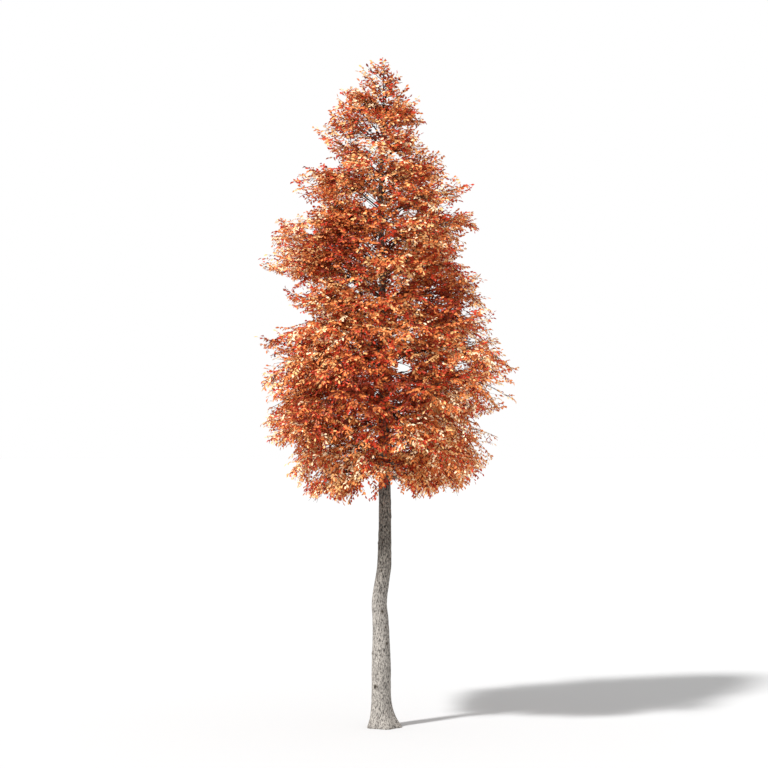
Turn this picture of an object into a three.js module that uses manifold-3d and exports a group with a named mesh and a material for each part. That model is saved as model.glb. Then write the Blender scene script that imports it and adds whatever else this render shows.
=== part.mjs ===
// An alder in autumn leaf, rooted in level ground.
// One trunk runs from its root flare to the leader at the top, with a kink in its lower third. Limbs leave it
// in a rising spiral. Each low limb is a bough that ends in its own mass of twigs and leaves, and the
// slighter limbs near the top are masses from the trunk outwards. A leaf here stands for a whole spray.
// Millimetres, +Z up, the front towards -Y. The origin is the middle of the flat cut at ground level.
import * as THREE from "three";
import { mergeVertices } from "three/addons/utils/BufferGeometryUtils.js";
import Module from "manifold-3d";

const wasm = await Module();
wasm.setup();

// Trunk: its heart line as height, offset to the right and offset to the back
const TRUNK_LINE = [
  [0, 0, 0], [330, -37, 4], [700, -41, 8], [1200, -42, 12], [1600, -52, 12], [1860, -69, 4], [2100, -44, -6],
  [2400, 0, -10], [2800, 14, -4], [3400, 14, 4], [4000, 0, 10], [6000, -10, -8], [8000, -48, 6],
  [9250, -10, 0],
];
const TRUNK_TOP = 9250;
// Radius of the wood at each height, and how much the root flare adds to it at the ground
const TRUNK_TAPER = [
  [0, 150], [1000, 135], [1800, 113], [2800, 98], [3600, 92], [6000, 54], [8000, 33], [9250, 11],
];
const FLARE = 122;
const FLARE_HEIGHT = 150;
const ROOT_LOBES = 5;
const ROOT_LOBE_DEPTH = 0.22;
const ROOT_LOBE_TURN = 0.6;
const TRUNK_SIDES = 15;
const TRUNK_RINGS = 24;
const RING_CROWDING = 1.7;
const TRUNK_MARKS = 400;

// Crown: how far leaf tips stand from the trunk at each height, seen from the front
const LEFT_OUTLINE = [
  [3260, 500], [3450, 1150], [3620, 1420], [4100, 1500], [4350, 1830], [4800, 1900], [5200, 1800],
  [5860, 1900], [6000, 1600], [6130, 1130], [6300, 1460], [6700, 1420], [6900, 1800], [7150, 1800],
  [7500, 1620], [7740, 1040], [8000, 1420], [8280, 1400], [8450, 850], [8850, 1060], [9350, 800],
  [9620, 420], [9820, 420], [10000, 90],
];
const RIGHT_OUTLINE = [
  [3280, 300], [3500, 1100], [3750, 1430], [4050, 1600], [4350, 1630], [4550, 1370], [4750, 1850],
  [5350, 2020], [5600, 1930], [5800, 1680], [6100, 1680], [6300, 1520], [6750, 1420], [6950, 1220],
  [7150, 1420], [7600, 1460], [7850, 1140], [8100, 1320], [8350, 950], [8550, 960], [8750, 680],
  [9080, 750], [9200, 500], [9350, 600], [9600, 300], [9850, 140], [10000, 80],
];
// An outline holds for limbs whose heading lies this near the side that it was seen on. A limb that heads a
// little forward or back reaches further before it shows beyond the outline, up to the flat side's share.
const OUTLINE_FADES = [0.4, 0.72];
const FLAT_SIDE = 0.85;
// Places where sky shows right through the crown, as right, height and radius
const SKY_GAPS = [
  [-210, 7860, 150], [930, 7680, 190], [280, 5380, 150], [1160, 5390, 120], [-590, 4930, 130],
  [-545, 3790, 130], [10, 3500, 200],
];

// Limbs, from the lowest up: the low ones are boughs, the others start as foliage at the trunk
const LIMB_COUNT = 36;
const BOUGH_COUNT = 22;
const LOWEST_LIMB = 3700;
const HIGHEST_LIMB = 9130;
const LIMB_CROWDING = 1.15;
const GOLDEN_ANGLE = Math.PI * (3 - Math.sqrt(5));
const FIRST_HEADING = 0.57;
const SIDE_PULL = 0.18;
const LIMB_RISE = [0.3, 1.05];
const LIMB_DROOP = [0.52, 0.38];
const LIMB_SWAY = 0.34;
const LIMB_RADIUS = [38, 20];
const LIMB_TIP_SHARE = 0.35;
const BOUGH_SHARE = [0.36, 0.26];
const BOUGH_SIDES = 5;
const BOUGH_RINGS = 3;
const LEADER_TOP = 9640;
const LEADER_RADII = [10, 6];

// Twigs and the leaf that stands for a spray
const STEM_SIDES = 4;
const STEM_RINGS = 3;
const TWIG_SIDES = 3;
const TWIGS_PER_MASS = [5, 4];
const TWIG_ANGLE = 0.95;
const TWIG_REACH = 0.8;
const TWIG_CUTS = [1, 0.75, 0.5];
const TWIG_RADIUS = 9;
const TWIG_SLOPE = 0.55;
const LEAF_LENGTH = [580, 430];
const LEAF_HALF_WIDTH = 0.33;
const LEAF_HALF_THICKNESS = 0.017;
const LEAF_WIDEST = 0.58;
const LEAF_THICKEST = 0.15;
const LEAF_ANGLE = 0.8;
const LEAF_HANG = [0.1, 0.9];
const LEAF_TILT = 0.4;
const LEAF_SPOTS = [0.25, 0.45, 0.62, 0.8];
const LEAF_TRIES = 12;
const LEAF_SHRINK = 0.025;
const LEAF_BEYOND_TIP = 0.65;
const LEAST_REACH = 0.5;

// Room between neighbours
const SEAT_GAP = 0.3;
const CLEARANCE = 6;
const FLATNESS = 1.2;
const AXIS_SAMPLES = 14;

const UP = new THREE.Vector3(0, 0, 1);
const BARK = "#a89e92";
const BOUGH_BARK = "#6f6459";
const LEAF_TINTS = ["#9c4d29", "#cd6c30", "#dd8e4b", "#ad3b24", "#deae6f", "#702d1d"];

// A repeatable number from 0 to 1 for each seed, so that the same tree grows every time
function chance(seed) {
  const wave = Math.sin(seed * 12.9898 + 4.1414) * 43758.5453;
  return wave - Math.floor(wave);
}

// The same, spread evenly from -1 to 1
function spread(seed) {
  return 2 * chance(seed) - 1;
}

function between([low, high], share) {
  return THREE.MathUtils.lerp(low, high, share);
}

// A value read off a list of [height, value] pairs
function along(pairs, height) {
  const next = pairs.findIndex(([mark]) => mark >= height);
  if (next === 0) return pairs[0][1];
  if (next < 0) return pairs.at(-1)[1];
  const [below, above] = [pairs[next - 1], pairs[next]];
  return THREE.MathUtils.mapLinear(height, below[0], above[0], below[1], above[1]);
}

// How far the crown reaches from the trunk at a height, along a heading (0 is right, a quarter turn is back)
function crownReach(height, heading) {
  const left = along(LEFT_OUTLINE, height);
  const right = along(RIGHT_OUTLINE, height);
  const side = Math.cos(heading);
  const share = THREE.MathUtils.smoothstep(Math.abs(side), ...OUTLINE_FADES);
  const sideways = (side < 0 ? left : right) / Math.max(Math.abs(side), FLAT_SIDE);
  return THREE.MathUtils.lerp((left + right) / 2, sideways, share);
}

function inCrown(point) {
  const [low, high] = [LEFT_OUTLINE[0][0], LEFT_OUTLINE.at(-1)[0]];
  if (point.z < low || point.z > high) return false;
  if (SKY_GAPS.some(([x, z, radius]) => Math.hypot(point.x - x, point.z - z) < radius)) return false;
  return Math.hypot(point.x, point.y) < crownReach(point.z, Math.atan2(point.y, point.x));
}

// Heart line of the trunk as close marks, and the spot on it at a height
const trunkLine = new THREE.CatmullRomCurve3(TRUNK_LINE.map(([z, x, y]) => new THREE.Vector3(x, y, z)));
const trunkMarks = trunkLine.getPoints(TRUNK_MARKS);
const trunkRight = trunkMarks.map((mark) => [mark.z, mark.x]);
const trunkBack = trunkMarks.map((mark) => [mark.z, mark.y]);

function trunkHeart(height) {
  return new THREE.Vector3(along(trunkRight, height), along(trunkBack, height), height);
}

// The wood's taper, plus a flare at the ground that dies away upwards and swells into the root lobes
function trunkRadius(height, turn) {
  const lobe = 1 + ROOT_LOBE_DEPTH * Math.cos(ROOT_LOBES * turn + ROOT_LOBE_TURN);
  return along(TRUNK_TAPER, height) + FLARE * lobe * Math.exp(-height / FLARE_HEIGHT);
}

function bare(geometry) {
  geometry.deleteAttribute("normal");
  geometry.deleteAttribute("uv");
  return geometry;
}

// The trunk: an upright cylinder with level rings, closer together near the flare, moved out to the trunk's
// radius. A grown trunk, a little fatter, cuts the seats of the limbs.
function trunkGeometry(growth) {
  const geometry = bare(new THREE.CylinderGeometry(1, 1, 1, TRUNK_SIDES, TRUNK_RINGS));
  const place = geometry.getAttribute("position");
  for (let i = 0; i < place.count; i += 1) {
    const height = TRUNK_TOP * (place.getY(i) + 0.5) ** RING_CROWDING;
    const [right, front] = [place.getX(i), place.getZ(i)];
    const radius = trunkRadius(height, Math.atan2(-front, right)) + growth;
    const heart = trunkHeart(height);
    place.setXYZ(i, heart.x + radius * right, heart.y - radius * front, height);
  }
  return geometry;
}

// A closed limb that tapers along a curve: a cylinder whose rings are carried along it
function limbGeometry(curve, sides, rings, radii) {
  const geometry = bare(new THREE.CylinderGeometry(1, 1, 1, sides, rings));
  const place = geometry.getAttribute("position");
  const frames = curve.computeFrenetFrames(rings);
  for (let i = 0; i < place.count; i += 1) {
    const share = place.getY(i) + 0.5;
    const ring = Math.round(share * rings);
    const radius = between(radii, share);
    const spot = curve.getPointAt(share);
    spot.addScaledVector(frames.normals[ring], radius * place.getX(i));
    spot.addScaledVector(frames.binormals[ring], -radius * place.getZ(i));
    place.setXYZ(i, spot.x, spot.y, spot.z);
  }
  return geometry;
}

// A straight twig with a few flat sides
function twigGeometry(line) {
  const round = new THREE.EllipseCurve(0, 0, TWIG_RADIUS, TWIG_RADIUS);
  const section = new THREE.Shape(round.getPoints(TWIG_SIDES));
  return bare(new THREE.ExtrudeGeometry(section, { steps: 1, bevelEnabled: false, extrudePath: line }));
}

// A leaf that points along +X from its stalk, widest beyond the middle and thickest near the stalk
function leafGeometry(length) {
  const geometry = bare(new THREE.OctahedronGeometry(1));
  const place = geometry.getAttribute("position");
  for (let i = 0; i < place.count; i += 1) {
    const [x, y, z] = [place.getX(i), place.getY(i), place.getZ(i)];
    const run = Math.max(x, 0) + LEAF_WIDEST * Math.abs(y) + LEAF_THICKEST * Math.abs(z);
    place.setXYZ(i, run * length, y * LEAF_HALF_WIDTH * length, z * LEAF_HALF_THICKNESS * length);
  }
  return geometry;
}

function solidFrom(geometry) {
  const merged = mergeVertices(geometry, 1e-3);
  const mesh = new wasm.Mesh({
    numProp: 3,
    vertProperties: merged.getAttribute("position").array,
    triVerts: new Uint32Array(merged.index.array),
  });
  return new wasm.Manifold(mesh);
}

function geometryFrom(solid) {
  const mesh = solid.getMesh();
  const geometry = new THREE.BufferGeometry();
  geometry.setAttribute("position", new THREE.BufferAttribute(mesh.vertProperties, 3));
  geometry.setIndex(new THREE.BufferAttribute(mesh.triVerts, 1));
  return geometry;
}

// The outer skin of the largest body, which leaves out loose scraps and fills sealed hollows
function wholeOf(solid) {
  return solid.decompose().reduce((best, body) => (body.volume() > best.volume() ? body : best));
}

// A limb's axis leaves the trunk's heart, rises, droops and sways a little to one side
class LimbCurve extends THREE.Curve {
  constructor(limb, from = 0, to = 1) {
    super();
    Object.assign(this, { limb, from, to });
  }

  getPoint(t, target = new THREE.Vector3()) {
    const { root, heading, reach, rise, droop, sway } = this.limb;
    const share = THREE.MathUtils.lerp(this.from, this.to, t);
    const bearing = heading + sway * share;
    target.set(Math.cos(bearing), Math.sin(bearing), 0).multiplyScalar(reach * share);
    target.z = reach * (rise * share - droop * share * share);
    return target.add(root);
  }
}

// Limbs are set round the trunk by the golden angle, drawn a little towards the two sides, and reach to the
// crown's outline, less part of a leaf
function layOutLimb(number) {
  const share = number / (LIMB_COUNT - 1);
  const spiral = FIRST_HEADING + number * GOLDEN_ANGLE + 0.2 * spread(number + 0.5);
  const height = THREE.MathUtils.lerp(LOWEST_LIMB, HIGHEST_LIMB, share ** LIMB_CROWDING);
  const limb = {
    number,
    share,
    root: trunkHeart(height),
    heading: spiral - SIDE_PULL * Math.sin(2 * spiral),
    sway: LIMB_SWAY * spread(number + 0.25),
    rise: between(LIMB_RISE, share),
    droop: between(LIMB_DROOP, share),
    radius: between(LIMB_RADIUS, share),
    leaf: between(LEAF_LENGTH, share),
    boughShare: number < BOUGH_COUNT ? between(BOUGH_SHARE, share) : 0,
    reach: 0,
  };
  for (let pass = 0; pass < 6; pass += 1) {
    const tip = height + limb.reach * (limb.rise - limb.droop);
    const room = crownReach(tip, limb.heading + limb.sway) - LEAF_BEYOND_TIP * limb.leaf;
    limb.reach = Math.max(room, LEAST_REACH * limb.leaf);
  }
  limb.neck = limb.radius * THREE.MathUtils.lerp(1, LIMB_TIP_SHARE, limb.boughShare);
  const start = limb.boughShare ? limb.boughShare + SEAT_GAP / limb.reach : 0;
  limb.stem = new LimbCurve(limb, start, 1);
  limb.stemRadii = [0.95 * limb.neck, LIMB_TIP_SHARE * limb.radius];
  limb.samples = limb.stem.getSpacedPoints(AXIS_SAMPLES);
  return limb;
}

// The leader carries the trunk straight on to the top of the tree
function layOutLeader() {
  const foot = trunkHeart(TRUNK_TOP).addScaledVector(UP, SEAT_GAP);
  const stem = new THREE.LineCurve3(foot, foot.clone().setZ(LEADER_TOP));
  const samples = stem.getSpacedPoints(AXIS_SAMPLES);
  return { number: LIMB_COUNT, share: 1, leaf: LEAF_LENGTH[1], stem, stemRadii: LEADER_RADII, samples };
}

const limbs = Array.from({ length: LIMB_COUNT }, (_, number) => layOutLimb(number));
const masses = [...limbs, layOutLeader()];

// Every piece of wood and leaf so far, with its box
const placed = [];

function boxOf(solid) {
  const { min, max } = solid.boundingBox();
  return new THREE.Box3(new THREE.Vector3(...min), new THREE.Vector3(...max));
}

function place(solid) {
  placed.push({ solid, box: boxOf(solid).expandByScalar(CLEARANCE) });
  return solid;
}

// Whether a solid stays clear of every other piece but the wood that it grows from
function isClear(solid, parent) {
  const box = boxOf(solid);
  const near = placed.filter((other) => other.solid !== parent && other.box.intersectsBox(box));
  return near.every((other) => solid.minGap(other.solid, CLEARANCE) >= CLEARANCE);
}

// Distance from a point to a mass's stem, with height counted more because masses lie in flat layers
function layerDistance(point, mass) {
  const squares = mass.samples.map((spot) => {
    return (point.x - spot.x) ** 2 + (point.y - spot.y) ** 2 + (FLATNESS * (point.z - spot.z)) ** 2;
  });
  return Math.min(...squares);
}

function inOwnSpace(point, mass) {
  const own = layerDistance(point, mass);
  return masses.every((other) => other === mass || layerDistance(point, other) > own);
}

// A leaf at a spot, turned about until it lies within the crown and clear of the other parts, or nothing
function leafAt(spot, direction, mass, parent, seed) {
  const corners = [[0.3, 0], [LEAF_WIDEST, -1], [LEAF_WIDEST, 0], [LEAF_WIDEST, 1], [0.8, 0], [1, 0]];
  for (let attempt = 0; attempt < LEAF_TRIES; attempt += 1) {
    const draw = seed + 0.013 * attempt;
    const length = mass.leaf * (1 + 0.1 * spread(seed) - LEAF_SHRINK * attempt);
    const level = 1 - Math.abs(direction.z);
    const hang = level * between(LEAF_HANG, chance(draw + 0.1));
    const run = direction.clone().addScaledVector(UP, -hang).normalize();
    const turn = Math.PI * spread(draw + 0.2);
    const face = new THREE.Vector3(Math.cos(turn), Math.sin(turn), LEAF_TILT);
    const across = face.cross(run).normalize();
    const matrix = new THREE.Matrix4().makeBasis(run, across, run.clone().cross(across)).setPosition(spot);
    const samples = corners.map(([share, side]) => {
      return new THREE.Vector3(share, side * LEAF_HALF_WIDTH, 0).multiplyScalar(length).applyMatrix4(matrix);
    });
    if (!samples.every(inCrown) || !inOwnSpace(samples[2], mass)) continue;
    const leaf = solidFrom(leafGeometry(length).applyMatrix4(matrix));
    if (isClear(leaf, parent)) return [place(leaf)];
  }
  return [];
}

// A side twig with its leaves, shortened until it has room, or nothing
function twigAt(spot, direction, length, mass, seed) {
  for (const cut of TWIG_CUTS) {
    const line = new THREE.LineCurve3(spot, spot.clone().addScaledVector(direction, length * cut));
    if (!line.getPoints(4).slice(1).every((point) => inCrown(point) && inOwnSpace(point, mass))) continue;
    const twig = solidFrom(twigGeometry(line));
    if (!isClear(twig, mass.wood)) continue;
    place(twig);
    const side = sideOf(direction, seed);
    const leaves = LEAF_SPOTS.flatMap((share, k) => {
      const turn = (k % 2 ? 1 : -1) * LEAF_ANGLE;
      const way = direction.clone().multiplyScalar(Math.cos(turn)).addScaledVector(side, Math.sin(turn));
      return leafAt(line.getPoint(share), way, mass, twig, seed + k + 1);
    });
    leaves.push(...leafAt(line.getPoint(0.97), direction, mass, twig, seed));
    if (leaves.length) return [twig, ...leaves];
    placed.pop();
  }
  return [];
}

// The level direction square to a stem, or any level one for a stem that stands upright
function sideOf(ahead, seed) {
  const level = new THREE.Vector3(ahead.y, -ahead.x, 0);
  return level.lengthSq() > 0.01 ? level.normalize() : level.set(Math.cos(seed), Math.sin(seed), 0);
}

// Twigs to left and right of the stem in turn, shorter towards its end, where one leaf carries it on
function growOn(mass) {
  const { stem, number } = mass;
  const count = Math.round(between(TWIGS_PER_MASS, mass.share));
  const grown = leafAt(stem.getPointAt(0.98), stem.getTangentAt(1), mass, mass.wood, 100 * number + 95);
  for (let k = 0; k < count; k += 1) {
    const seed = 100 * number + 10 * k;
    const share = (k + 0.6) / (count + 0.2);
    const ahead = stem.getTangentAt(share);
    const side = sideOf(ahead, seed);
    const turn = (k % 2 ? 1 : -1) * (TWIG_ANGLE + 0.2 * spread(seed + 0.6));
    const way = ahead.multiplyScalar(Math.cos(turn)).addScaledVector(side, Math.sin(turn));
    way.addScaledVector(UP, (k % 4 < 2 ? 1 : -1) * TWIG_SLOPE * chance(seed + 0.7)).normalize();
    const length = stem.getLength() * TWIG_REACH * (1 - 0.4 * share);
    grown.push(...twigAt(stem.getPointAt(share), way, length, mass, seed));
  }
  return grown;
}

const tree = new THREE.Group();

function addPart(name, solid, color) {
  const finish = new THREE.MeshStandardMaterial({ color, roughness: 0.85, metalness: 0, flatShading: true });
  const mesh = new THREE.Mesh(geometryFrom(solid), finish);
  mesh.name = name;
  tree.add(mesh);
}

function label(number) {
  return String(number + 1).padStart(2, "0");
}

// The trunk and the boughs are set first, then every stem, then the twigs and leaves where there is room
const trunk = place(solidFrom(trunkGeometry(0)));
const grownTrunk = solidFrom(trunkGeometry(1.2 * SEAT_GAP));
addPart("trunk", trunk, BARK);

for (const limb of limbs.slice(0, BOUGH_COUNT)) {
  const line = new LimbCurve(limb, 0, limb.boughShare);
  const wood = solidFrom(limbGeometry(line, BOUGH_SIDES, BOUGH_RINGS, [limb.radius, limb.neck]));
  const bough = place(wholeOf(wood.subtract(grownTrunk)));
  addPart(`bough_${label(limb.number)}`, bough, BOUGH_BARK);
}

for (const mass of masses) {
  const wood = solidFrom(limbGeometry(mass.stem, STEM_SIDES, STEM_RINGS, mass.stemRadii));
  mass.wood = place(mass.boughShare === 0 ? wholeOf(wood.subtract(grownTrunk)) : wood);
}

for (const mass of masses) {
  const whole = growOn(mass).reduce((solid, piece) => solid.add(piece), mass.wood);
  const tint = LEAF_TINTS[mass.number % LEAF_TINTS.length];
  addPart(`foliage_${label(mass.number)}`, wholeOf(whole), tint);
}

export default tree;
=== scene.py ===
# %% [markdown]
# # An alder in autumn leaf
# The tree is ten metres tall. Its trunk is bare for the lowest third, kinks once and runs on to the tip,
# and a narrow crown of red, russet, orange and amber leaves starts above it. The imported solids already
# fix the trunk, the boughs and how far each mass of foliage reaches. This lesson replaces every one of
# them with what the eye sees: bark with relief, twigs, and leaves of nearly true size. The same growth
# rule that laid out the solids is written again here and carried on to finer twigs.

import bpy
import numpy as np
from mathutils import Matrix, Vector


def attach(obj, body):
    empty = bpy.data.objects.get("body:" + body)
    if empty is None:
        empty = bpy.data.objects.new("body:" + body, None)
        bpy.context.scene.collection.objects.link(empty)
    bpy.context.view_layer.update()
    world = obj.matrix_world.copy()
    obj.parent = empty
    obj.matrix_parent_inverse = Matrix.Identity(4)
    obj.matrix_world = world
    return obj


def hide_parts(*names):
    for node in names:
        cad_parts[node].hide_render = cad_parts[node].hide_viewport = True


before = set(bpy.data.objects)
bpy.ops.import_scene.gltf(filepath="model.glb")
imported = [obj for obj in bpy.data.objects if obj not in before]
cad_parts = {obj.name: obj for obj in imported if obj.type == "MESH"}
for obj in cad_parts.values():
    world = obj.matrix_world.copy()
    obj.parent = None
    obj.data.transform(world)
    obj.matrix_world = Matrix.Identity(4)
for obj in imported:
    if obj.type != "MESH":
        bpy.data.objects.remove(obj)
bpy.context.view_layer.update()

# %% [markdown]
# ## Chance that never changes
# A tree looks grown because nothing on it repeats exactly, yet the script has to give the same tree each
# time. A random generator with a seed would do. A formula that turns a number into a number is chosen
# instead, because it is the one that laid out the solids, so limb seven turns the same way here as it
# does there.

# %% Chance
WAVE_PACE, WAVE_START, WAVE_HEIGHT = 12.9898, 4.1414, 43758.5453


def chance(seed):
    """The fraction left of a very fast sine wave, read at the seed: between 0 and 1, the same every time."""
    wave = np.sin(np.asarray(seed, dtype=float) * WAVE_PACE + WAVE_START) * WAVE_HEIGHT
    return wave - np.floor(wave)


def spread(seed):
    """Chance moved to lie between -1 and 1."""
    return 2 * chance(seed) - 1


def between(pair, share):
    """The value a share of the way from the first of the pair to the second."""
    return pair[0] + (pair[1] - pair[0]) * share


def unit(arrows):
    """Each arrow divided by its own length."""
    return arrows / np.maximum(np.linalg.norm(arrows, axis=-1, keepdims=True), 1e-9)


print("chance at 1, 2, 3:", np.round(chance([1, 2, 3]), 3))

# %% [markdown]
# ## Noise that wraps
# Bark, knobs on boughs, bays in the crown and patches of colour all vary smoothly round the tree and up
# it. A texture node can't move corners before the mesh exists, so the noise is worked out here: chance at
# the corners of a lattice, blended in between, with the last column meeting the first.

# %% Noise
COLUMN_SEED, ROW_SEED = 1.371, 57.313


def grain(turn, height, cells_round, cell_height, seed):
    """Value noise that wraps: chance at the four corners of a lattice cell, from -1 to 1, blended by smooth
    steps."""
    across = turn / (2 * np.pi) * cells_round
    up = height / cell_height
    column = np.floor(across)
    row = np.floor(up)
    s = (across - column) ** 2 * (3 - 2 * (across - column))
    t = (up - row) ** 2 * (3 - 2 * (up - row))
    left, right = column % cells_round, (column + 1) % cells_round

    def corner(col, line):
        """Chance at one lattice corner."""
        return spread(col * COLUMN_SEED + line * ROW_SEED + seed)

    low = corner(left, row) * (1 - s) + corner(right, row) * s
    high = corner(left, row + 1) * (1 - s) + corner(right, row + 1) * s
    return low * (1 - t) + high * t


full_turn = grain(np.array([0, 2 * np.pi]), 1.3, 5, 0.4, 3.1)
print("noise at turn 0 and one full turn on:", np.round(full_turn, 3))

# %% [markdown]
# ## The line of the trunk
# The trunk leans a little to the left, kinks back at about two metres and then rises almost straight. It
# could be a Blender curve with a bevel, but then its bark could not be worked on point by point. So the
# stations of its heart are joined by a smooth spline in numpy, and a table of radii and a root flare give
# its thickness.

# %% Trunk line
TRUNK_LINE = np.array([  # height, right, back, in metres
    [0, 0, 0], [0.33, -0.037, 0.004], [0.7, -0.041, 0.008], [1.2, -0.042, 0.012], [1.6, -0.052, 0.012],
    [1.86, -0.069, 0.004], [2.1, -0.044, -0.006], [2.4, 0, -0.01], [2.8, 0.014, -0.004], [3.4, 0.014, 0.004],
    [4, 0, 0.01], [6, -0.01, -0.008], [8, -0.048, 0.006], [9.25, -0.01, 0],
])
TAPER_HEIGHTS = [0, 1, 1.8, 2.8, 3.6, 6, 8, 9.25]
TAPER_RADII = [0.15, 0.135, 0.113, 0.098, 0.092, 0.054, 0.033, 0.011]
FLARE = 0.122
FLARE_HEIGHT = 0.15
ROOT_LOBES = 5
ROOT_LOBE_DEPTH = 0.22
ROOT_LOBE_TURN = 0.6
FOOT_TUCK = 0.03
FOOT_TUCK_HEIGHT = 0.025
SPLINE_MARKS = 400


def smooth_line(stations, marks):
    """Centripetal Catmull-Rom spline: a cubic for each span, whose end slopes come from the neighbouring
    stations weighted by the square roots of their distances."""
    ends = np.vstack([2 * stations[0] - stations[1], stations, 2 * stations[-1] - stations[-2]])
    step = np.sqrt(np.linalg.norm(np.diff(ends, axis=0), axis=1))[:, None]
    p0, p1, p2, p3 = ends[:-3], ends[1:-2], ends[2:-1], ends[3:]
    d0, d1, d2 = step[:-2], step[1:-1], step[2:]
    slope_in = d1 * ((p1 - p0) / d0 - (p2 - p0) / (d0 + d1) + (p2 - p1) / d1)
    slope_out = d1 * ((p2 - p1) / d1 - (p3 - p1) / (d1 + d2) + (p3 - p2) / d2)
    place = np.linspace(0, len(p1), marks)
    span = np.minimum(place.astype(int), len(p1) - 1)
    t = (place - span)[:, None]
    start = (2 * t**3 - 3 * t**2 + 1) * p1[span] + (t**3 - 2 * t**2 + t) * slope_in[span]
    end = (3 * t**2 - 2 * t**3) * p2[span] + (t**3 - t**2) * slope_out[span]
    return start + end


TRUNK_MARKS = smooth_line(TRUNK_LINE[:, [1, 2, 0]], SPLINE_MARKS)


def trunk_heart(height):
    """The point of the trunk's heart at a height, read off the spline."""
    right = np.interp(height, TRUNK_MARKS[:, 2], TRUNK_MARKS[:, 0])
    back = np.interp(height, TRUNK_MARKS[:, 2], TRUNK_MARKS[:, 1])
    return np.stack([right, back, np.asarray(height, dtype=float) + 0 * right], axis=-1)


def trunk_radius(height, turn):
    """The taper at a height, plus a flare that fades upward and swells into root lobes round the foot, less a
    tuck in the last few centimetres, where the roots go under."""
    lobes = 1 + ROOT_LOBE_DEPTH * np.cos(ROOT_LOBES * turn + ROOT_LOBE_TURN)
    flare = FLARE * lobes * np.exp(-height / FLARE_HEIGHT)
    tuck = FOOT_TUCK * np.exp(-height / FOOT_TUCK_HEIGHT)
    return np.interp(height, TAPER_HEIGHTS, TAPER_RADII) + flare - tuck


print("heart at 1.86 m:", np.round(trunk_heart(1.86), 3))
print("foot radius:", round(float(trunk_radius(0.0, 0.0)), 3))

# %% [markdown]
# ## Putting arrays into meshes
# Every piece below is worked out as whole arrays. Two small helpers turn them into Blender meshes: one
# makes a closed tube round each of many lines at once, and one hands the corners and triangles over with
# foreach_set, which is far quicker than adding vertices one by one.

# %% Mesh helpers
UP = np.array([0.0, 0.0, 1.0])
RIGHT = np.array([1.0, 0.0, 0.0])
STEEP = 0.9  # upward part of a line that is too steep to have a level side


def tubes(lines, radii, sides):
    """A closed tube round each line. A ring stands square to its line, corner s at an angle of s turns over
    the number of sides, walls join each ring to the next, and a fan of triangles closes either end. Lines are
    (tubes, rings, 3), radii are (tubes, rings, sides or 1)."""
    count, rings = lines.shape[:2]
    ahead = unit(np.gradient(lines, axis=1))
    level = unit(np.cross(ahead, np.where(np.abs(ahead[:, :1, 2:]) > STEEP, RIGHT, UP)))
    over = np.cross(level, ahead)
    turn = 2 * np.pi * np.arange(sides) / sides
    arrows = level[:, :, None] * np.cos(turn)[:, None] + over[:, :, None] * np.sin(turn)[:, None]
    corners = lines[:, :, None] + arrows * radii[..., None]
    ring, side = np.meshgrid(np.arange(rings - 1), np.arange(sides), indexing="ij")
    here = (ring * sides + side).ravel()
    beside = (ring * sides + (side + 1) % sides).ravel()
    fan = np.arange(1, sides - 1)
    last = (rings - 1) * sides
    one_tube = np.concatenate([
        np.stack([here, here + sides, beside + sides], axis=-1),
        np.stack([here, beside + sides, beside], axis=-1),
        np.stack([0 * fan, fan, fan + 1], axis=-1),
        np.stack([last + 0 * fan, last + fan + 1, last + fan], axis=-1),
    ])
    triangles = one_tube + rings * sides * np.arange(count)[:, None, None]
    return corners.reshape(-1, 3), triangles.reshape(-1, 3)


def add_piece(name, corners, triangles, finish, stands_for, smooth):
    """Makes one mesh object from corners (n, 3) and triangles (m, 3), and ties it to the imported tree."""
    mesh = bpy.data.meshes.new(name)
    mesh.vertices.add(len(corners))
    mesh.vertices.foreach_set("co", corners.astype(np.float32).ravel())
    mesh.loops.add(triangles.size)
    mesh.loops.foreach_set("vertex_index", triangles.astype(np.int32).ravel())
    mesh.polygons.add(len(triangles))
    mesh.polygons.foreach_set("loop_start", np.arange(0, triangles.size, 3, dtype=np.int32))
    mesh.polygons.foreach_set("use_smooth", np.full(len(triangles), smooth))
    mesh.update(calc_edges=True)
    mesh.materials.append(finish)
    piece = bpy.data.objects.new(name, mesh)
    bpy.context.scene.collection.objects.link(piece)
    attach(piece, "root")
    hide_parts(*stands_for)
    print(name, "has", len(triangles), "triangles and stands for", len(stands_for), "solids")
    return piece


sample_line = np.linspace([[0, 0, 0]], [[0, 0, 1]], 3, axis=1)
sample, sample_triangles = tubes(sample_line, np.full((1, 3, 1), 0.1), 3)
print("a tube of three rings and sides:", len(sample), "corners,", len(sample_triangles), "triangles")

# %% [markdown]
# ## Nodes and colours
# Colours are written as the hex codes that a picture would show. Blender works in linear light, so one
# function converts them. Another adds a node with its settings and links, which keeps each material
# readable.

# %% Material helpers


def linear(code):
    """Linear colour of an sRGB hex code: a channel above 0.04 becomes ((c + 0.055) / 1.055) to the power 2.4,
    and a darker one c / 12.92."""
    channels = np.array([int(code[i:i + 2], 16) for i in (1, 3, 5)]) / 255
    bright = ((channels + 0.055) / 1.055) ** 2.4
    return (*np.where(channels > 0.04045, bright, channels / 12.92).tolist(), 1.0)


def node(tree, kind, settings=None, **links):
    """Adds a node of a kind, sets its properties or input values, and links its inputs to other outputs."""
    made = tree.nodes.new(kind)
    for key, value in (settings or {}).items():
        if hasattr(made, key):
            setattr(made, key, value)
        else:
            made.inputs[key].default_value = value
    for key, source in links.items():
        tree.links.new(source, made.inputs[key.replace("_", " ")])
    return made


def empty_material(name):
    """A material without any nodes, and its node tree."""
    finish = bpy.data.materials.new(name)
    finish.use_nodes = True
    finish.node_tree.nodes.clear()
    return finish, finish.node_tree


print("mid grey in linear light:", round(linear("#808080")[0], 3))

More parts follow.
